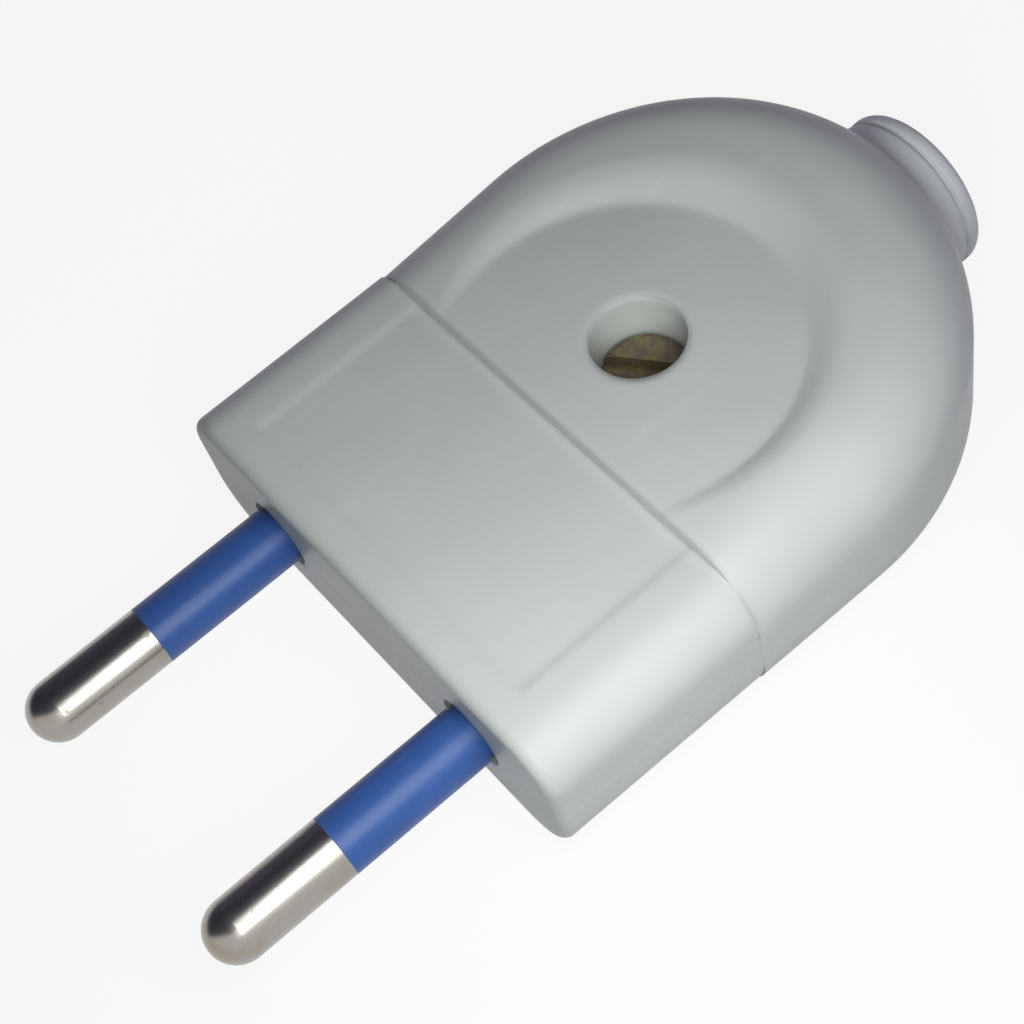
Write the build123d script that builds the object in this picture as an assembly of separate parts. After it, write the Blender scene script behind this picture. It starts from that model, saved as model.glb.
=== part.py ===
from build123d import *
import math
import os

os.makedirs("parts", exist_ok=True)

# Frame: origin on the front face, midway between the pins, on the pin axes.
# X runs from the left pin to the right pin, the pins point to -Y, +Z is up.
# The two halves meet on the plane z = 0.

# body outline
FRONT_HALF_W = 17.4
TAIL_R = 17.58
TAIL_CENTRE_Y = 24.63
FRONT_EDGE_R = 0.7

# cover heights and edge rounding
DECK_TOP = 5.93
DECK_EDGE_R = 3.3
STEP_Y = 15.1
GRIP_TOP_AT_STEP = 6.75
GRIP_TOP_SLOPE = 0.095
GRIP_EDGE_R = 5.0
GRIP_PROUD = 0.08

# base depth and edge rounding
BASE_DEPTH = 5.6
BASE_EDGE_R = 4.2

# thumb dish and label panel in the cover
SCREW_Y = 22.3
DISH_FLOOR_Z = GRIP_TOP_AT_STEP - 0.03
DISH_RIM_R = 12.9
DISH_ROLL_R = 3.0
DISH_WALL_ANGLE = 34.0
DISH_CLEAR = 0.02
DISH_DEEPEST = 3.0
PANEL_HALF_W = 12.3
PANEL_FRONT_Y = 2.7
PANEL_DEPTH = 0.12
PANEL_EDGE_ANGLE = 68.0

# walls
SIDE_WALL = 1.8
FRONT_WALL = 2.4
FLOOR_WALL = 1.5
DECK_WALL = 1.65
CEILING_Z = 5.3
RIB_T = 1.4
ROOT_LAP = 0.2
PIN_RIB_HALF_W = 4.2
NECK_RIB_HALF_W = 8.2
REST_RIB_HALF_W = 3.6
REST_RIB_T = 1.2
CROSS_RIB_HALF_W = 11.0
CROSS_RIB_DROP = 1.1
SIDE_RIB_T = 1.0
SIDE_RIB_Y0 = 24.0
SIDE_RIB_Y1 = 30.5
SIDE_RIB_DROP = 0.9
STEP_ROOM = 1.6
ROOM_LAP = 0.4
BARRIER_T = 1.2
CRADLE_T = 2.0
CRADLE_TOP_Z = -0.8
WEB_T = 1.0
WEB_TOP_Z = -0.6
WEB_REACH = 5.4
CRADLE_GAP = 0.3
POST_ROOT = 0.8

# alignment lip of the base in the rebate of the cover
LIP_HEIGHT = 1.0
LIP_SET_IN = 0.9
LIP_GAP = 0.1
LIP_STOP = 1.5
BARRIER_TOP_Z = 3.0
SEAM_DEPTH = 0.08
SEAM_HEIGHT = 0.08

# contact pins
PIN_PITCH = 19.0
PIN_R = 2.0
PIN_LENGTH = 19.0
SLEEVE_LENGTH = 10.0
SLEEVE_ROOT_Y = 2.3
SLEEVE_STEP_Y = -0.3
SLEEVE_ROOT_R = 1.84
SHANK_R = 1.8
CORE_R = 1.5
SLEEVE_GAP = 0.05
SEAT_GAP = 0.1
MOUTH_GAP = 0.4
MOUTH_DEPTH = 1.0
COLLAR_R = 3.1
COLLAR_Y0 = 3.4
COLLAR_T = 1.2
COLLAR_GAP = 0.1

# terminals
TONGUE_W = 5.6
TONGUE_Y0 = 7.0
TONGUE_Y1 = 15.0
TONGUE_BOTTOM = -2.2
TONGUE_TOP = 0.6
TERMINAL_Y = 11.2
SADDLE_T = 0.7
SADDLE_WING_T = 0.5
SADDLE_WING_GAP = 0.1
SADDLE_LEN = 5.4
WING_DROP = 1.4
WING_SET_IN = 0.6
SADDLE_BEND_R = 0.4
SCREW_R = 1.5
SCREW_GAP = 0.1
T_HEAD_R = 2.6
T_HEAD_H = 1.7
T_SHANK_LEN = 4.6

# cover screw, counterbore and captive nut
HOLE_R = 2.98
HEAD_SEAT_Z = 1.9
C_HEAD_R = 2.75
C_HEAD_H = 1.9
C_SHANK_LEN = 6.8
BOSS_R = 4.6
BOSS_TOP_Z = 0.5
NUT_AF = 5.5
NUT_T = 2.4
NUT_TOP_Z = -2.8
NUT_GAP = 0.1

# cord clamp
CLAMP_SET_IN = 10.21
CLAMP_PITCH = 14.4
POST_R = 2.4
POST_TOP_Z = 1.0
BAR_LEN = 19.4
BAR_W = 5.2
BAR_T = 1.5
BAR_TOOTH = 0.5
CL_SCREW_R = 1.2
CL_HEAD_R = 2.3
CL_HEAD_H = 1.4
CL_SHANK_LEN = 5.4
CL_HOLE_DEPTH = 4.5
CL_THREAD_GAP = 0.05
CORD_R = 2.9

# cord guard
GUARD_R = 5.57
GUARD_OUT = 2.94
GUARD_SEAT_IN = 1.91
GUARD_GAP = 0.1
NECK_R = 3.8
NECK_LEN = 1.5
FLANGE_T = 1.6
FLANGE_HALF_W = 5.4
FLANGE_HALF_H = 3.6
FLANGE_CORNER_R = 2.0
GROOVE_BACK = 1.2
GROOVE_W = 0.25
GROOVE_DEPTH = 0.3
GROOVE_ROUND_R = 0.2
GUARD_EDGE_R = 0.7

# derived sizes
PIN_X = PIN_PITCH / 2
PIN_SEAT_R = SLEEVE_ROOT_R + SEAT_GAP
CLAMP_X = CLAMP_PITCH / 2
TAIL_Y = TAIL_CENTRE_Y + TAIL_R
CLAMP_Y = TAIL_Y - CLAMP_SET_IN
GUARD_END_Y = TAIL_Y + GUARD_OUT
GUARD_SHOULDER_Y = TAIL_Y - GUARD_SEAT_IN
GROOVE_Y = GUARD_END_Y - GROOVE_BACK
FLANGE_Y1 = GUARD_SHOULDER_Y - NECK_LEN
FLANGE_Y0 = FLANGE_Y1 - FLANGE_T
NECK_RIB_Y0 = FLANGE_Y1 + GUARD_GAP
NECK_RIB_Y1 = GUARD_SHOULDER_Y - GUARD_GAP
FLOOR_Z = -BASE_DEPTH + FLOOR_WALL
OVERRUN = 8.0
FAR = 80.0


def box_at(x0, x1, y0, y1, z0, z1):
    size = Box(x1 - x0, y1 - y0, z1 - z0)
    return Pos((x0 + x1) / 2, (y0 + y1) / 2, (z0 + z1) / 2) * size


def rod_z(x, y, z0, z1, r):
    return Pos(x, y, (z0 + z1) / 2) * Cylinder(r, z1 - z0)


def rod_y(x, z, y0, y1, r):
    return Pos(x, (y0 + y1) / 2, z) * Rot(90, 0, 0) * Cylinder(r, y1 - y0)


def plan_face(inset, front_y):
    # straight sides tangent to the round tail, carried past the front face
    r = TAIL_R - inset
    half = FRONT_HALF_W - inset
    reach = math.hypot(half, TAIL_CENTRE_Y)
    lean = math.atan2(TAIL_CENTRE_Y, half)
    phi = math.acos(r / reach) - lean
    tx = r * math.cos(phi)
    ty = TAIL_CENTRE_Y + r * math.sin(phi)
    slope = (tx - half) / ty
    fx = half + slope * front_y
    side_r = Line((fx, front_y), (tx, ty))
    tail = ThreePointArc((tx, ty), (0, TAIL_CENTRE_Y + r), (-tx, ty))
    side_l = Line((-tx, ty), (-fx, front_y))
    front = Line((-fx, front_y), (fx, front_y))
    return make_face(Curve() + [side_r, tail, side_l, front])


def edges_not_at_front(solid, z_low, z_high):
    picked = solid.edges().filter_by_position(Axis.Z, z_low, z_high)
    return picked.filter_by(lambda e: e.center().Y > -OVERRUN + 0.01)


def sheared(solid, pivot_y, slope):
    # the top leans, the walls stay upright
    lean = Matrix([[1, 0, 0, 0], [0, 1, 0, 0], [0, slope, 1, -slope * pivot_y], [0, 0, 0, 1]])
    return solid.transform_geometry(lean)


def tilted(solid, pivot_y, pivot_z, degrees):
    # leaned about a cross-wise line, so its rounded edges stay true arcs
    return Pos(0, pivot_y, pivot_z) * Rot(degrees, 0, 0) * Pos(0, -pivot_y, -pivot_z) * solid


def rounded_at(solid, y, sign, radius):
    # soft edge round the face at y, clear of the parting plane
    edges = solid.edges().filter_by(lambda e: abs(e.center().Y - y) < 0.01)
    edges = edges.filter_by(lambda e: sign * e.center().Z > 0.05)
    return fillet(edges, radius)


def cover_outer():
    deck = extrude(plan_face(0, -OVERRUN), amount=DECK_TOP)
    deck = fillet(edges_not_at_front(deck, DECK_TOP - 0.01, DECK_TOP + 0.01), DECK_EDGE_R)
    deck = deck & box_at(-FAR, FAR, 0, STEP_Y, 0, FAR)
    deck = rounded_at(deck, 0, 1, FRONT_EDGE_R)
    top = GRIP_TOP_AT_STEP
    grip = Pos(0, 0, -4) * extrude(plan_face(-GRIP_PROUD, -OVERRUN), amount=top + 4)
    grip = fillet(edges_not_at_front(grip, top - 0.01, top + 0.01), GRIP_EDGE_R)
    grip = sheared(grip, STEP_Y, GRIP_TOP_SLOPE)
    grip = grip & box_at(-FAR, FAR, STEP_Y, FAR, 0, FAR)
    return deck + grip


def base_block(inset, y0, y1):
    block = extrude(plan_face(inset, -OVERRUN), amount=-BASE_DEPTH)
    edges = edges_not_at_front(block, -BASE_DEPTH - 0.01, -BASE_DEPTH + 0.01)
    return fillet(edges, BASE_EDGE_R) & box_at(-FAR, FAR, y0, y1, -FAR, 0)


def base_outer():
    # flat underside; the grip stands a touch proud of the front part
    front = rounded_at(base_block(0, 0, STEP_Y), 0, -1, FRONT_EDGE_R)
    return front + base_block(-GRIP_PROUD, STEP_Y, FAR)


def hollow(inset_z, edge_r, sign):
    # the room inside one half, rounded where its wall meets floor or ceiling
    room = extrude(plan_face(SIDE_WALL, -OVERRUN), amount=sign * inset_z)
    z = sign * inset_z
    room = fillet(edges_not_at_front(room, z - 0.01, z + 0.01), edge_r)
    return room


def thumb_dish():
    # the wall rolls over from the leaning crown, then runs down to a level floor
    lean = math.degrees(math.atan(GRIP_TOP_SLOPE))
    wall = math.radians(DISH_WALL_ANGLE)
    crown_z = GRIP_TOP_AT_STEP + GRIP_TOP_SLOPE * (SCREW_Y - STEP_Y)
    centre_z = DISH_CLEAR - DISH_ROLL_R
    x_mid = DISH_RIM_R - DISH_ROLL_R * math.sin(wall / 2)
    z_mid = centre_z + DISH_ROLL_R * math.cos(wall / 2)
    x_low = DISH_RIM_R - DISH_ROLL_R * math.sin(wall)
    z_low = centre_z + DISH_ROLL_R * math.cos(wall)
    x_deep = x_low - (z_low + DISH_DEEPEST) / math.tan(wall)
    roll = ThreePointArc((x_low, z_low), (x_mid, z_mid), (DISH_RIM_R, DISH_CLEAR))
    under = Polyline((0, -DISH_DEEPEST), (x_deep, -DISH_DEEPEST), (x_low, z_low))
    over = Polyline((DISH_RIM_R, DISH_CLEAR), (DISH_RIM_R, FAR), (0, FAR), (0, -DISH_DEEPEST))
    bowl = revolve(make_face(Plane.XZ * (Curve() + [under, roll, over])), Axis.Z)
    bowl = tilted(Pos(0, SCREW_Y, crown_z) * bowl, SCREW_Y, crown_z, lean)
    return bowl & box_at(-FAR, FAR, STEP_Y - 1, FAR, DISH_FLOOR_Z, FAR)


def label_panel():
    # shallow recess with sloped edges, open to the step
    length = STEP_Y - PANEL_FRONT_Y + OVERRUN
    face = Rectangle(2 * PANEL_HALF_W, length)
    recess = extrude(face, amount=2 * PANEL_DEPTH, taper=-PANEL_EDGE_ANGLE)
    recess = Pos(0, PANEL_FRONT_Y + length / 2, DECK_TOP - PANEL_DEPTH) * recess
    return recess & box_at(-FAR, FAR, 0, STEP_Y, 0, FAR)


def lip_ring(outer_inset, inner_inset, z1):
    ring = extrude(plan_face(outer_inset, -OVERRUN), amount=z1)
    ring = ring - extrude(plan_face(inner_inset, -OVERRUN), amount=z1)
    ring = ring & box_at(-FAR, FAR, FRONT_WALL, FAR, 0, z1)
    return ring - box_at(-GUARD_R - LIP_STOP, GUARD_R + LIP_STOP, FLANGE_Y0, FAR, 0, z1)


def seam_groove():
    # fine open line round the body where the halves meet
    ring = extrude(plan_face(-1, -OVERRUN), amount=SEAM_HEIGHT) & box_at(-FAR, FAR, -1, FAR, 0, 1)
    core = extrude(plan_face(SEAM_DEPTH, -OVERRUN), amount=1)
    return ring - (core & box_at(-FAR, FAR, SEAM_DEPTH, FAR, 0, 1))


def neck_rib(z0, z1):
    return box_at(-NECK_RIB_HALF_W, NECK_RIB_HALF_W, NECK_RIB_Y0, NECK_RIB_Y1, z0, z1)


def pin_rib(x, z0, z1):
    # one saddle in front of the collar and one behind it
    y_a = COLLAR_Y0 - COLLAR_GAP
    y_b = COLLAR_Y0 + COLLAR_T + COLLAR_GAP
    x0 = x - PIN_RIB_HALF_W
    x1 = x + PIN_RIB_HALF_W
    front = box_at(x0, x1, FRONT_WALL - ROOT_LAP, y_a, z0, z1)
    rear = box_at(x0, x1, y_b, y_b + RIB_T, z0, z1)
    return front + rear


def pin_mouth(x):
    # wider hole mouth in the front face, so the sleeve's root stands in a dark ring
    return rod_y(x, 0, -FAR, MOUTH_DEPTH, PIN_R + MOUTH_GAP)


def guard_passage():
    way = rod_y(0, 0, NECK_RIB_Y1 - 0.01, FAR, GUARD_R + GUARD_GAP)
    return way + rod_y(0, 0, FLANGE_Y0, NECK_RIB_Y1, NECK_R + GUARD_GAP)


def cover_shell():
    body = cover_outer()
    body = body - thumb_dish() - label_panel()
    room_front = hollow(DECK_TOP - DECK_WALL, DECK_EDGE_R - SIDE_WALL, 1)
    room_front = room_front & box_at(-FAR, FAR, FRONT_WALL, STEP_Y + STEP_ROOM + ROOM_LAP, 0, FAR)
    room_rear = hollow(CEILING_Z, GRIP_EDGE_R - SIDE_WALL, 1)
    room_rear = room_rear & box_at(-FAR, FAR, STEP_Y + STEP_ROOM, FAR, 0, FAR)
    room = room_front + room_rear
    inner = neck_rib(0, FAR) + rod_z(0, SCREW_Y, BOSS_TOP_Z, FAR, BOSS_R)
    half = SIDE_RIB_T / 2
    for x in (-PIN_X, PIN_X):
        inner = inner + pin_rib(x, 0, FAR)
        inner = inner + box_at(x - half, x + half, SIDE_RIB_Y0, SIDE_RIB_Y1, CEILING_Z - SIDE_RIB_DROP, FAR)
    rib_y = STEP_Y + STEP_ROOM - 0.1
    rib_z = CEILING_Z - CROSS_RIB_DROP
    inner = inner + box_at(-CROSS_RIB_HALF_W, CROSS_RIB_HALF_W, rib_y, rib_y + RIB_T, rib_z, FAR)
    body = body - room + (inner & room)
    body = body - seam_groove()
    body = body - lip_ring(LIP_SET_IN - LIP_GAP, SIDE_WALL + 0.05, LIP_HEIGHT + LIP_GAP)
    body = body - guard_passage()
    for x in (-PIN_X, PIN_X):
        body = body - rod_y(x, 0, -1, TONGUE_Y1, PIN_SEAT_R) - pin_mouth(x)
    body = body - rod_z(0, SCREW_Y, HEAD_SEAT_Z, FAR, HOLE_R)
    body = body - rod_z(0, SCREW_Y, -1, FAR, SCREW_R + SCREW_GAP)
    return body


def hex_prism(across_flats, x, y, z0, z1):
    face = RegularPolygon(across_flats / 2, 6, major_radius=False)
    return Pos(x, y, z0) * extrude(face, amount=z1 - z0)


def base_shell():
    body = base_outer()
    room = hollow(BASE_DEPTH - FLOOR_WALL, BASE_EDGE_R - SIDE_WALL, -1)
    room = room & box_at(-FAR, FAR, FRONT_WALL, FAR, -FAR, 0)
    inner = neck_rib(-FAR, 0)
    half_t = REST_RIB_T / 2
    for x in (-PIN_X, PIN_X):
        x0 = x - REST_RIB_HALF_W
        x1 = x + REST_RIB_HALF_W
        inner = inner + pin_rib(x, -FAR, 0)
        for y in (TONGUE_Y0 + REST_RIB_T, TONGUE_Y1 - REST_RIB_T):
            inner = inner + box_at(x0, x1, y - half_t, y + half_t, -FAR, TONGUE_BOTTOM)
    posts = rod_z(0, SCREW_Y, FLOOR_Z - POST_ROOT, BOSS_TOP_Z, BOSS_R)
    for side in (-1, 1):
        x = side * CLAMP_X
        out = x + side * WEB_REACH
        posts = posts + rod_z(x, CLAMP_Y, FLOOR_Z - POST_ROOT, POST_TOP_Z, POST_R)
        web_y0 = CLAMP_Y - WEB_T / 2
        inner = inner + box_at(min(x, out), max(x, out), web_y0, web_y0 + WEB_T, -FAR, WEB_TOP_Z)
    cradle_y0 = CLAMP_Y - CRADLE_T / 2
    inner = inner + box_at(-CLAMP_X, CLAMP_X, cradle_y0, cradle_y0 + CRADLE_T, -FAR, CRADLE_TOP_Z)
    half_b = BARRIER_T / 2
    barrier_y0 = FRONT_WALL - ROOT_LAP
    barrier_y1 = SCREW_Y - BOSS_R + 0.5
    barrier = box_at(-half_b, half_b, barrier_y0, barrier_y1, FLOOR_Z - ROOM_LAP, 0)
    barrier_y1 = STEP_Y + STEP_ROOM - ROOM_LAP
    barrier = barrier + box_at(-half_b, half_b, FRONT_WALL + 0.1, barrier_y1, -0.1, BARRIER_TOP_Z)
    body = body - room + (inner & room) + posts + barrier
    body = body - rod_y(0, 0, CLAMP_Y - CRADLE_T, CLAMP_Y + CRADLE_T, CORD_R + CRADLE_GAP)
    body = body + lip_ring(LIP_SET_IN, SIDE_WALL, LIP_HEIGHT)
    body = body - guard_passage()
    for x in (-PIN_X, PIN_X):
        body = body - rod_y(x, 0, -1, TONGUE_Y0 - SEAT_GAP, PIN_SEAT_R) - pin_mouth(x)
    for x in (-CLAMP_X, CLAMP_X):
        body = body - rod_z(x, CLAMP_Y, POST_TOP_Z - CL_HOLE_DEPTH, FAR, CL_SCREW_R + CL_THREAD_GAP)
    body = body - rod_z(0, SCREW_Y, -FAR, FAR, SCREW_R + SCREW_GAP)
    body = body - hex_prism(NUT_AF + 2 * NUT_GAP, 0, SCREW_Y, -FAR, NUT_TOP_Z)
    return body


def contact_pin(x):
    y_tip = -PIN_LENGTH
    y_nose = y_tip + PIN_R
    y_core = -SLEEVE_LENGTH
    y_c1 = COLLAR_Y0 + COLLAR_T
    y_end = TONGUE_Y0 + 0.8
    s45 = PIN_R * math.sqrt(0.5)
    nose = ThreePointArc((0, y_tip), (s45, y_nose - s45), (PIN_R, y_nose))
    pts = [(PIN_R, y_nose), (PIN_R, y_core), (CORE_R, y_core), (CORE_R, SLEEVE_ROOT_Y)]
    pts = pts + [(SHANK_R, SLEEVE_ROOT_Y), (SHANK_R, COLLAR_Y0), (COLLAR_R, COLLAR_Y0)]
    pts = pts + [(COLLAR_R, y_c1), (SHANK_R, y_c1), (SHANK_R, y_end), (0, y_end), (0, y_tip)]
    turned = revolve(make_face(Curve() + [nose, Polyline(*pts)]), Axis.Y)
    half = TONGUE_W / 2
    tongue = box_at(-half, half, TONGUE_Y0, TONGUE_Y1, TONGUE_BOTTOM, TONGUE_TOP)
    tongue = fillet(tongue.edges().filter_by(Axis.Z), 0.6)
    tongue = chamfer(tongue.edges().group_by(Axis.Z)[-1], 0.15)
    pin = turned + tongue
    pin = pin - rod_z(0, TERMINAL_Y, -FAR, FAR, SCREW_R + SCREW_GAP)
    return Pos(x, 0, 0) * pin


def pin_sleeve(x):
    # flush with the metal tip, stepped down where it enters the body
    tube = rod_y(x, 0, -SLEEVE_LENGTH, SLEEVE_STEP_Y, PIN_R)
    tube = tube + rod_y(x, 0, -SLEEVE_LENGTH, SLEEVE_ROOT_Y, SLEEVE_ROOT_R)
    return tube - rod_y(x, 0, -FAR, FAR, CORE_R + SLEEVE_GAP)


def pan_screw(head_r, head_h, shank_r, shank_len, slot_w, slot_d):
    # origin under the head, shank down
    s45 = math.sqrt(0.5)
    crown = head_h * 0.45
    pts = [(0, -shank_len), (shank_r - 0.35, -shank_len), (shank_r, -shank_len + 0.35)]
    pts = pts + [(shank_r, 0), (head_r, 0), (head_r, head_h - crown)]
    arc_c = (head_r - crown, head_h - crown)
    mid = (arc_c[0] + crown * s45, arc_c[1] + crown * s45)
    arc = ThreePointArc((head_r, head_h - crown), mid, (head_r - crown, head_h))
    top = Polyline((head_r - crown, head_h), (0, head_h), (0, -shank_len))
    face = make_face(Plane.XZ * (Curve() + [Polyline(*pts), arc, top]))
    screw = revolve(face, Axis.Z)
    slot = box_at(-head_r - 1, head_r + 1, -slot_w / 2, slot_w / 2, head_h - slot_d, head_h + 1)
    return screw - slot


def terminal_screw(x, turn):
    screw = pan_screw(T_HEAD_R, T_HEAD_H, SCREW_R, T_SHANK_LEN, 0.8, 0.8)
    return Pos(x, TERMINAL_Y, TONGUE_TOP + SADDLE_T) * Rot(0, 0, turn) * screw


def wire_saddle(x):
    half = TONGUE_W / 2 + SADDLE_WING_GAP
    y0 = TERMINAL_Y - SADDLE_LEN / 2
    y1 = TERMINAL_Y + SADDLE_LEN / 2
    out = half + SADDLE_WING_T
    plate = box_at(-out, out, y0, y1, TONGUE_TOP, TONGUE_TOP + SADDLE_T)
    w0 = y0 + WING_SET_IN
    w1 = y1 - WING_SET_IN
    plate = plate + box_at(-out, -half, w0, w1, TONGUE_TOP - WING_DROP, TONGUE_TOP + 0.1)
    plate = plate + box_at(half, out, w0, w1, TONGUE_TOP - WING_DROP, TONGUE_TOP + 0.1)
    top = TONGUE_TOP + SADDLE_T
    bends = plate.edges().filter_by(Axis.Y).filter_by_position(Axis.Z, top - 0.01, top + 0.01)
    plate = fillet(bends, SADDLE_BEND_R)
    plate = plate - rod_z(0, TERMINAL_Y, -FAR, FAR, SCREW_R + SCREW_GAP)
    return Pos(x, 0, 0) * plate


def cover_screw():
    screw = pan_screw(C_HEAD_R, C_HEAD_H, SCREW_R, C_SHANK_LEN, 0.9, 1.0)
    return Pos(0, SCREW_Y, HEAD_SEAT_Z) * Rot(0, 0, 35) * screw


def cover_nut():
    nut = hex_prism(NUT_AF, 0, SCREW_Y, NUT_TOP_Z - NUT_T, NUT_TOP_Z)
    point_r = NUT_AF / 2 / math.cos(math.pi / 6)
    cone = Cone(point_r + 1.7, point_r - 0.2, 1.1, align=(Align.CENTER, Align.CENTER, Align.MAX))
    lower = Pos(0, SCREW_Y, NUT_TOP_Z - NUT_T) * Rot(180, 0, 0) * cone
    keep = Pos(0, SCREW_Y, NUT_TOP_Z) * cone
    nut = nut & (keep + rod_z(0, SCREW_Y, NUT_TOP_Z - NUT_T, NUT_TOP_Z - 1.1, 6))
    nut = nut & (lower + rod_z(0, SCREW_Y, NUT_TOP_Z - NUT_T + 1.1, NUT_TOP_Z, 6))
    return nut - rod_z(0, SCREW_Y, -FAR, FAR, SCREW_R + SCREW_GAP)


def cord_clamp_bar():
    z0 = POST_TOP_Z
    bar = box_at(-BAR_LEN / 2, BAR_LEN / 2, CLAMP_Y - BAR_W / 2, CLAMP_Y + BAR_W / 2, z0, z0 + BAR_T)
    bar = fillet(bar.edges().filter_by(Axis.Z), 2.2)
    bar = fillet(bar.edges().group_by(Axis.Z)[-1], 0.3)
    for y in (CLAMP_Y - 1.5, CLAMP_Y + 1.5):
        tooth = box_at(-3.4, 3.4, y - 0.4, y + 0.4, z0 - BAR_TOOTH, z0 + 0.1)
        bar = bar + chamfer(tooth.edges().group_by(Axis.Z)[0].filter_by(Axis.X), 0.3)
    for x in (-CLAMP_X, CLAMP_X):
        bar = bar - rod_z(x, CLAMP_Y, -FAR, FAR, CL_SCREW_R + 0.2)
    return bar


def cord_clamp_screw(x, turn):
    screw = pan_screw(CL_HEAD_R, CL_HEAD_H, CL_SCREW_R, CL_SHANK_LEN, 0.7, 0.7)
    return Pos(x, CLAMP_Y, POST_TOP_Z + BAR_T) * Rot(0, 0, turn) * screw


def cord_guard():
    # revolved rings outside, keyed flange inside the body
    g0 = GROOVE_Y - GROOVE_W / 2
    g1 = GROOVE_Y + GROOVE_W / 2
    low = GUARD_R - GROOVE_DEPTH
    pts = [(0, FLANGE_Y1 - 0.2), (NECK_R, FLANGE_Y1 - 0.2), (NECK_R, GUARD_SHOULDER_Y)]
    pts = pts + [(GUARD_R, GUARD_SHOULDER_Y), (GUARD_R, g0), (low, g0), (low, g1), (GUARD_R, g1)]
    pts = pts + [(GUARD_R, GUARD_END_Y), (0, GUARD_END_Y)]
    body = revolve(make_face(Polyline(*pts, close=True)), Axis.Y)
    rims = body.edges().filter_by(GeomType.CIRCLE)
    rims = rims.filter_by(lambda e: abs(e.radius - GUARD_R) < 0.01 and e.center().Y > g0 - 0.01)
    body = fillet(rims.sort_by(Axis.Y)[-1], GUARD_EDGE_R)
    soft = body.edges().filter_by(GeomType.CIRCLE)
    soft = soft.filter_by(lambda e: abs(e.radius - GUARD_R) < 0.01 and abs(e.center().Y - GROOVE_Y) < GROOVE_W)
    body = fillet(soft, GROOVE_ROUND_R)
    flange = box_at(-FLANGE_HALF_W, FLANGE_HALF_W, FLANGE_Y0, FLANGE_Y1, -FLANGE_HALF_H, FLANGE_HALF_H)
    flange = fillet(flange.edges().filter_by(Axis.Y), FLANGE_CORNER_R)
    body = body + flange
    return body - rod_y(0, 0, -FAR, FAR, CORD_R)


PARTS = {
    "base_shell": base_shell(),
    "cover_shell": cover_shell(),
    "contact_pin_left": contact_pin(-PIN_X),
    "contact_pin_right": contact_pin(PIN_X),
    "pin_sleeve_left": pin_sleeve(-PIN_X),
    "pin_sleeve_right": pin_sleeve(PIN_X),
    "wire_saddle_left": wire_saddle(-PIN_X),
    "wire_saddle_right": wire_saddle(PIN_X),
    "terminal_screw_left": terminal_screw(-PIN_X, 20),
    "terminal_screw_right": terminal_screw(PIN_X, -35),
    "cover_screw": cover_screw(),
    "cover_nut": cover_nut(),
    "cord_clamp_bar": cord_clamp_bar(),
    "cord_clamp_screw_left": cord_clamp_screw(-CLAMP_X, 50),
    "cord_clamp_screw_right": cord_clamp_screw(CLAMP_X, 10),
    "cord_guard": cord_guard(),
}

for name, solid in PARTS.items():
    export_step(solid, f"parts/{name}.step")
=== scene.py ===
"""Looks of the two-pin plug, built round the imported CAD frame. All lengths are in metres."""
import math

import bmesh
import bpy
from mathutils import Matrix, Vector


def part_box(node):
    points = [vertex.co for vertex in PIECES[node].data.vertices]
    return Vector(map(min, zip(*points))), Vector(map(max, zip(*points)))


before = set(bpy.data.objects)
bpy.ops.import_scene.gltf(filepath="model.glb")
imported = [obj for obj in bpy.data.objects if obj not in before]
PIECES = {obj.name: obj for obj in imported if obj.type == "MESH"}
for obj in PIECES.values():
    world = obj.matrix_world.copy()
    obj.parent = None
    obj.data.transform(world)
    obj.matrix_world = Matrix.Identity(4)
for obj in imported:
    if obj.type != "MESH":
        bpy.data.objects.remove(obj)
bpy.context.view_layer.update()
MM = 0.001
CORNER_SAMPLES = 6
FLOOR_GAP = 0.02 * MM
FLOOR_REACH = 1.5
FLOOR_GLOW = 0.89
# FLAG_GLOW: faint violet glow of the flag's painted dark reflection
FLAG_GLOW = 0.07
SURROUND_LIGHT = 0.06
FLOOR_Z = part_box("base_shell")[0].z


class Value:
    """A shader socket that takes part in Python arithmetic."""

    def __init__(self, graph, socket):
        self.graph = graph
        self.socket = socket

    def _math(self, operation, a, b):
        return self.graph.node("ShaderNodeMath", {"operation": operation}, {0: a, 1: b})

    def __add__(self, other):
        return self._math("ADD", self, other)

    def __radd__(self, other):
        return self._math("ADD", other, self)

    def __sub__(self, other):
        return self._math("SUBTRACT", self, other)

    def __rsub__(self, other):
        return self._math("SUBTRACT", other, self)

    def __mul__(self, other):
        return self._math("MULTIPLY", self, other)

    def __rmul__(self, other):
        return self._math("MULTIPLY", other, self)

    def at_least(self, other):
        return self._math("MAXIMUM", self, other)


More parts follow.
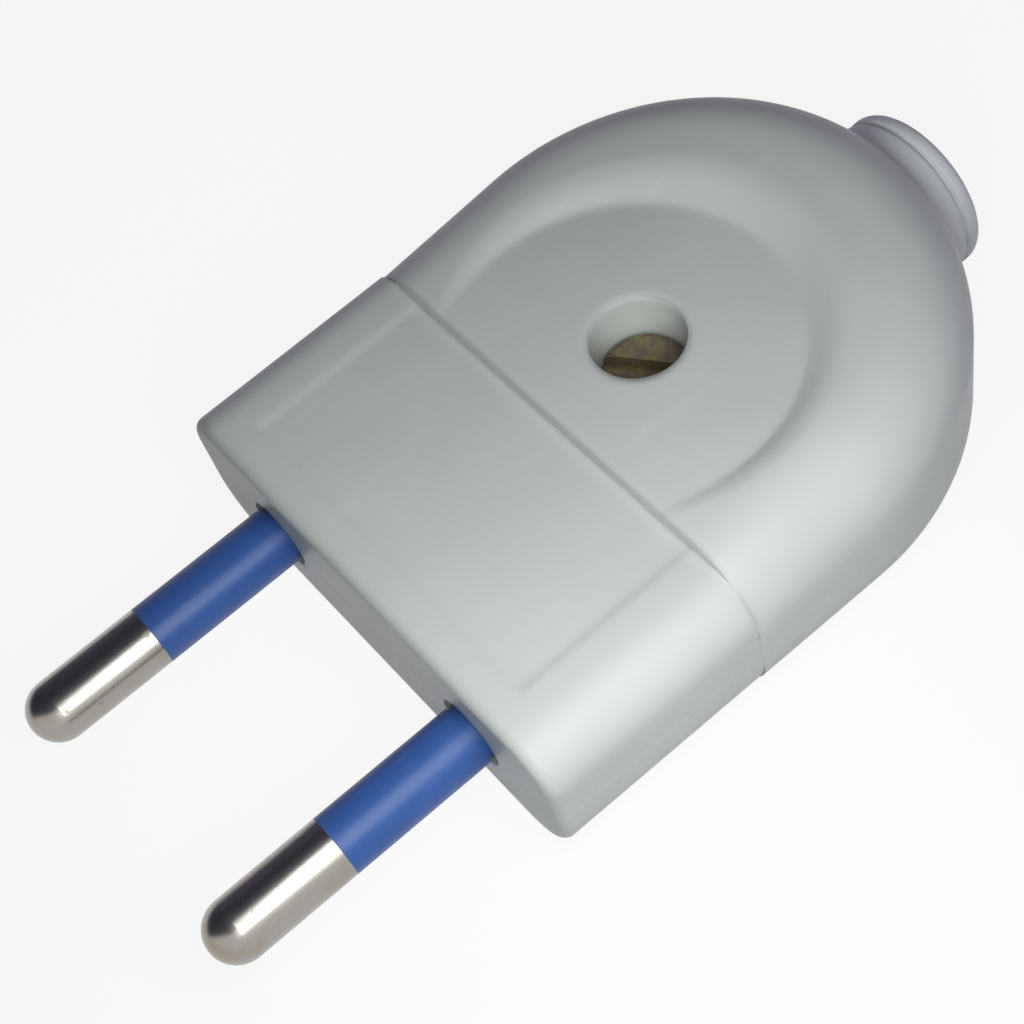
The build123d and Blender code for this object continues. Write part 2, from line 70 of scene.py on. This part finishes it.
class Graph:
    """A node tree that is written as formulas."""

    def __init__(self, owner, output_kind):
        owner.use_nodes = True
        self.owner = owner
        self.tree = owner.node_tree
        self.tree.nodes.clear()
        self.output = self.tree.nodes.new(output_kind)

    def put(self, socket, value):
        if isinstance(value, Value):
            self.tree.links.new(value.socket, socket)
        else:
            socket.default_value = value

    def node(self, kind, settings=None, inputs=None, out=0):
        made = self.tree.nodes.new(kind)
        for key, value in (settings or {}).items():
            setattr(made, key, value)
        for key, value in (inputs or {}).items():
            self.put(made.inputs[key], value)
        return Value(self, made.outputs[out])

    def show(self, surface):
        self.put(self.output.inputs["Surface"], surface)

    def place(self, scale=(1, 1, 1), turn=(0, 0, 0)):
        """Object coordinates, squeezed or turned."""
        coords = self.node("ShaderNodeTexCoord", out="Object")
        fields = {"Vector": coords, "Scale": scale, "Rotation": turn}
        return self.node("ShaderNodeMapping", {}, fields)

    def noise(self, scale, detail=3.0, rough=0.55, where=None):
        fields = {"Scale": scale, "Detail": detail, "Roughness": rough}
        return self.node("ShaderNodeTexNoise", {}, {"Vector": where or self.place(), **fields})

    def above(self, value, low, high):
        """0 below low, 1 above high, and a soft step between them."""
        fields = {"Value": value, "From Min": low, "From Max": high}
        return self.node("ShaderNodeMapRange", {"interpolation_type": "SMOOTHSTEP"}, fields)

    def mix(self, factor, a, b):
        """Colour a at factor 0, colour b at factor 1."""
        return self.node("ShaderNodeMix", {"data_type": "RGBA"}, {0: factor, 6: a, 7: b}, out=2)

    def bump(self, height, distance, strength, under=None):
        fields = {"Height": height, "Distance": distance, "Strength": strength}
        if under:
            fields["Normal"] = under
        return self.node("ShaderNodeBump", {}, fields)

    def softened(self, radius, clear_of):
        """The surface's own normal, with its sharp corners rubbed soft.

        Corners nearer to the parting plane than clear_of stay sharp.
        """
        soft = self.node("ShaderNodeBevel", {"samples": CORNER_SAMPLES}, {"Radius": radius})
        if not clear_of:
            return soft
        own = self.node("ShaderNodeNewGeometry", out="Normal")
        height = self.node("ShaderNodeSeparateXYZ", {}, {0: self.place()}, out="Z")
        distance = self.node("ShaderNodeMath", {"operation": "ABSOLUTE"}, {0: height})
        away = self.above(distance, clear_of, 2 * clear_of)
        blend = {0: away, 4: own, 5: soft}
        return self.node("ShaderNodeMix", {"data_type": "VECTOR"}, blend, out=1)

    def seen_by_eye(self):
        """1 for a ray of the camera, a mirror or a clear piece, 0 for a ray that carries light."""
        camera, glossy, clear = (
            self.node("ShaderNodeLightPath", out=f"Is {kind} Ray")
            for kind in ("Camera", "Glossy", "Transmission")
        )
        return camera.at_least(glossy).at_least(clear)


class Finish(Graph):
    """A material with one Principled shader, whose fixed sockets are set in place."""

    def __init__(self, name, **fixed):
        super().__init__(bpy.data.materials.new(name), "ShaderNodeOutputMaterial")
        self.shader = self.tree.nodes.new("ShaderNodeBsdfPrincipled")
        self.show(Value(self, self.shader.outputs[0]))
        self.feed(**fixed)

    def feed(self, **sockets):
        for socket, value in sockets.items():
            self.put(self.shader.inputs[socket.replace("_", " ")], value)
        return self.owner


def linear(share):
    """One channel of a screen colour, 0 to 1, as linear light."""
    return share / 12.92 if share <= 0.04045 else ((share + 0.055) / 1.055) ** 2.4


def srgb(r, g, b):
    """A colour as it is seen on screen, 0 to 255, as the shader takes it."""
    return tuple(linear(c / 255.0) for c in (r, g, b)) + (1.0,)


def moulded_plastic(name, colour, shade, gloss, grain, soft, seam):
    """Moulded plastic: faint cloudiness, a fine tool texture, hairline scuffs and a soft sheen.

    soft is how far its corners are rubbed, and seam how far from the parting plane that starts.
    """
    g = Finish(name, IOR=1.49, Specular_IOR_Level=0.16)
    cloud = g.above(g.noise(90.0, 4.0, 0.5), 0.32, 0.70)
    hairline = g.place((1.0, 0.16, 1.0), (0, 0, 0.5))
    scuffs = g.above(g.noise(420.0, 5.0, 0.62, hairline), 0.60, 0.74)
    base = g.mix(scuffs * 0.10, g.mix(cloud * 0.55, colour, shade), srgb(236, 238, 236))
    rough = gloss + 0.10 * (g.noise(340.0) - 0.5) + 0.07 * scuffs
    swell = g.bump(g.noise(130.0, 2.0, 0.4), 0.00006, 0.55, g.softened(soft, seam))
    normal = g.bump(g.noise(2600.0, 2.0), grain, 0.5, swell)
    return g.feed(Base_Color=base, Roughness=rough, Normal=normal)


def drawn_sleeve(name):
    """Blue pin insulation: drawn lengthwise, a little waxy, rubbed paler where it slides."""
    g = Finish(name, IOR=1.5, Specular_IOR_Level=0.35)
    streak = g.noise(1500.0, 4.0, 0.6, g.place((1.0, 0.10, 1.0)))
    cloud = g.noise(260.0)
    base = g.mix(g.above(cloud, 0.35, 0.70) * 0.5, srgb(58, 96, 168), srgb(48, 84, 152))
    base = g.mix(g.above(streak, 0.62, 0.78) * 0.22, base, srgb(104, 136, 190))
    normal = g.bump(streak, 0.00002, 0.6, g.bump(cloud, 0.00003, 0.5))
    return g.feed(Base_Color=base, Roughness=0.40 + 0.20 * (streak - 0.5), Normal=normal)


def nickel_plate(name):
    """Nickel on the contact pins: bright, with drawn lines, small nicks and warm thin spots."""
    g = Finish(name, Metallic=1.0)
    drawn = g.noise(2400.0, 4.0, 0.65, g.place((1.0, 0.06, 1.0)))
    nicks = g.above(g.noise(1400.0, 2.0, 0.5), 0.66, 0.78)
    thin = g.above(g.noise(330.0, 4.0, 0.6), 0.50, 0.72)
    base = g.mix(thin * 0.45, srgb(164, 160, 155), srgb(150, 139, 114))
    base = g.mix(nicks * 0.35, base, srgb(100, 93, 80))
    normal = g.bump(drawn, 0.000008, 0.5, g.bump(1.0 - nicks, 0.00001, 0.4))
    return g.feed(Base_Color=base, Roughness=0.22 + 0.12 * drawn + 0.12 * nicks, Normal=normal)


def tarnished_brass(name):
    """Old brass of the cover screw and its nut: yellow metal under brown, crusty tarnish."""
    g = Finish(name)
    crust = g.noise(950.0, 5.0, 0.66)
    spots = g.above(crust, 0.34, 0.60)
    fine = g.noise(4200.0, 3.0, 0.6)
    base = g.mix(spots, srgb(158, 148, 106), srgb(112, 98, 88))
    base = g.mix(g.above(fine, 0.55, 0.75) * 0.4, base, srgb(176, 164, 132))
    normal = g.bump(crust, 0.00009, 0.8, g.bump(fine, 0.00002, 0.6))
    metal, rough = 0.75 - 0.50 * spots, 0.40 + 0.28 * spots
    return g.feed(Base_Color=base, Metallic=metal, Roughness=rough, Normal=normal)


def satin_plate(name, colour, cloudy):
    """Plated small parts inside the plug: satin and slightly cloudy."""
    g = Finish(name, Metallic=1.0)
    cloud = g.noise(700.0, 4.0, 0.6)
    base = g.mix(g.above(cloud, 0.35, 0.70), colour, cloudy)
    normal = g.bump(g.noise(5200.0, 2.0), 0.00001, 0.5)
    return g.feed(Base_Color=base, Roughness=0.28 + 0.18 * cloud, Normal=normal)


SHELL = moulded_plastic(
    "shell_off_white",
    srgb(206, 209, 207),
    srgb(197, 200, 200),
    gloss=0.38,
    grain=0.010 * MM,
    soft=0.9 * MM,
    seam=1.0 * MM,
)
GUARD = moulded_plastic(
    "guard_off_white",
    srgb(228, 230, 233),
    srgb(220, 223, 228),
    gloss=0.44,
    grain=0.018 * MM,
    soft=0.3 * MM,
    seam=0.0,
)
CLAMP = moulded_plastic(
    "clamp_bar_grey",
    srgb(176, 178, 176),
    srgb(160, 163, 162),
    gloss=0.50,
    grain=0.020 * MM,
    soft=0.1 * MM,
    seam=0.0,
)
SLEEVE = drawn_sleeve("sleeve_blue")
NICKEL = nickel_plate("nickel_plate")
BRASS = tarnished_brass("tarnished_brass")
ZINC = satin_plate("zinc_plate", srgb(192, 194, 198), srgb(176, 176, 168))
TERMINAL = satin_plate("terminal_plate", srgb(202, 196, 178), srgb(178, 168, 138))

FINISH_OF = {
    "cover_shell": SHELL,
    "base_shell": SHELL,
    "cord_guard": GUARD,
    "cord_clamp_bar": CLAMP,
    "cover_screw": BRASS,
    "cover_nut": BRASS,
}
for side in ("left", "right"):
    FINISH_OF[f"pin_sleeve_{side}"] = SLEEVE
    FINISH_OF[f"contact_pin_{side}"] = NICKEL
    FINISH_OF[f"wire_saddle_{side}"] = TERMINAL
    FINISH_OF[f"terminal_screw_{side}"] = ZINC
    FINISH_OF[f"cord_clamp_screw_{side}"] = ZINC
for name, finish in FINISH_OF.items():
    PIECES[name].data.materials.clear()
    PIECES[name].data.materials.append(finish)


def stage_piece(name, finish, build):
    """A mesh that belongs to the studio and not to the plug."""
    bm = bmesh.new()
    build(bm)
    mesh = bpy.data.meshes.new(name)
    bm.to_mesh(mesh)
    bm.free()
    mesh.materials.append(finish)
    piece = bpy.data.objects.new(name, mesh)
    bpy.context.collection.objects.link(piece)
    return piece


def floor_paper():
    """Pale paper that keeps the plug's shadow, and shows near white to the camera and to metal."""
    g = Finish("floor_paper", Roughness=0.9)
    dull = g.mix(g.noise(60.0), srgb(180, 180, 180), srgb(184, 184, 184))
    g.feed(Base_Color=g.mix(g.seen_by_eye(), dull, srgb(246, 246, 246)))
    glow = g.node("ShaderNodeEmission", {}, {"Color": (1, 1, 1, 1), "Strength": 1.0})
    lit = Value(g, g.shader.outputs[0])
    share = g.seen_by_eye() * FLOOR_GLOW
    g.show(g.node("ShaderNodeMixShader", {}, {0: share, 1: lit, 2: glow}))
    return g.owner


def floor_sheet(bm):
    bmesh.ops.create_grid(bm, x_segments=1, y_segments=1, size=FLOOR_REACH)
    bmesh.ops.translate(bm, verts=bm.verts, vec=(0, 0, FLOOR_Z - FLOOR_GAP))


AIM = Vector((0.0, 18.0, 2.0)) * MM
FLAG_SIDE = Vector((-0.75, 0.30, 0.60))
FLAG_RADIUS = 0.30


# The flag's face: a painted dark reflection with a faint violet glow, seen only by glossy faces;
# it lights nothing and casts no shadow.
def dark_cloth():
    g = Finish("dark_cloth", Roughness=0.9)
    g.feed(Emission_Color=(0.62, 0.62, 1.0, 1.0), Emission_Strength=FLAG_GLOW)
    return g.feed(Base_Color=g.mix(g.noise(40.0), srgb(6, 6, 8), srgb(10, 10, 13)))


def flag_bowl(bm):
    """Half a bowl round the plug, on the side away from the key lamp."""
    bmesh.ops.create_uvsphere(bm, u_segments=64, v_segments=32, radius=FLAG_RADIUS)
    cut = bm.verts[:] + bm.edges[:] + bm.faces[:]
    bmesh.ops.bisect_plane(bm, geom=cut, plane_co=(0, 0, 0), plane_no=FLAG_SIDE, clear_inner=True)
    bmesh.ops.translate(bm, verts=bm.verts, vec=AIM)


def hang_flag():
    """A dark flag that only polished and glossy faces see, so that a painted dark reflection gives
    them a dark side.
    """
    flag = stage_piece("flag", dark_cloth(), flag_bowl)
    flag.visible_camera = False
    flag.visible_diffuse = False
    flag.visible_shadow = False
    return flag


stage_piece("floor", floor_paper(), floor_sheet)
hang_flag()


def away_from_plug(azimuth, elevation):
    """Direction from the plug. Azimuth 0 is +X and 90 is +Y, in degrees."""
    a, e = math.radians(azimuth), math.radians(elevation)
    return Vector((math.cos(a) * math.cos(e), math.sin(a) * math.cos(e), math.sin(e)))


def facing_plug(azimuth, elevation, distance):
    """A place round the plug, turned so that a lamp there looks at it."""
    away = away_from_plug(azimuth, elevation)
    turn = away.to_track_quat("Z", "Y").to_matrix().to_4x4()
    return Matrix.Translation(AIM + away * distance) @ turn


def softbox(name, azimuth, elevation, distance, size, watts, colour):
    """A square lamp that looks at the plug."""
    data = bpy.data.lights.new(name, "AREA")
    data.shape = "SQUARE"
    data.size = size
    data.energy = watts
    data.color = colour
    lamp = bpy.data.objects.new(name, data)
    lamp.matrix_world = facing_plug(azimuth, elevation, distance)
    lamp.visible_camera = False
    bpy.context.collection.objects.link(lamp)
    return lamp


KEY_LIGHT = {"distance": 0.06, "size": 0.04}
FILL_LIGHT = {"distance": 0.40, "size": 0.25}
softbox("key", -25, 47, watts=0.0328, colour=(0.96, 1.0, 0.96), **KEY_LIGHT)
softbox("tail_fill", 62, 12, watts=0.20, colour=(0.78, 0.74, 1.0), **FILL_LIGHT)
softbox("left_fill", 170, 12, watts=0.14, colour=(0.86, 0.78, 1.0), **FILL_LIGHT)


def studio_world():
    """A white surround for the eye, with only a faint share of it lighting the plug."""
    g = Graph(bpy.data.worlds.new("studio"), "ShaderNodeOutputWorld")
    tint = {"Color": (0.86, 0.82, 1, 1), "Strength": SURROUND_LIGHT}
    faint = g.node("ShaderNodeBackground", {}, tint)
    white = g.node("ShaderNodeBackground", {}, {"Color": (1, 1, 1, 1), "Strength": 1.0})
    g.show(g.node("ShaderNodeMixShader", {}, {0: g.seen_by_eye(), 1: faint, 2: white}))
    return g.owner


bpy.context.scene.world = studio_world()

# The camera stands where the photograph was taken from. RIGHT, UP and BACK are its own axes.
RIGHT = Vector((0.625906, 0.757651, -0.184950))
UP = Vector((-0.602887, 0.620481, 0.501529))
BACK = Vector((0.494742, -0.202406, 0.845140))
EYE = Vector((62.906, -16.161, 104.043)) * MM
FOCAL_PX = 2064.2
SHIFT_PX = (-6.8, 46.1)
FRAME_PX = 1024
SENSOR = 36.0


def photo_camera():
    data = bpy.data.cameras.new("camera")
    data.sensor_width = SENSOR
    data.lens = FOCAL_PX * SENSOR / FRAME_PX
    data.shift_x = -SHIFT_PX[0] / FRAME_PX
    data.shift_y = SHIFT_PX[1] / FRAME_PX
    data.clip_start = 5 * MM
    data.clip_end = 20.0
    camera = bpy.data.objects.new("camera", data)
    camera.matrix_world = Matrix.Translation(EYE) @ Matrix((RIGHT, UP, BACK)).transposed().to_4x4()
    bpy.context.collection.objects.link(camera)
    return camera


bpy.context.scene.camera = photo_camera()
bpy.context.scene.view_settings.view_transform = "Standard"
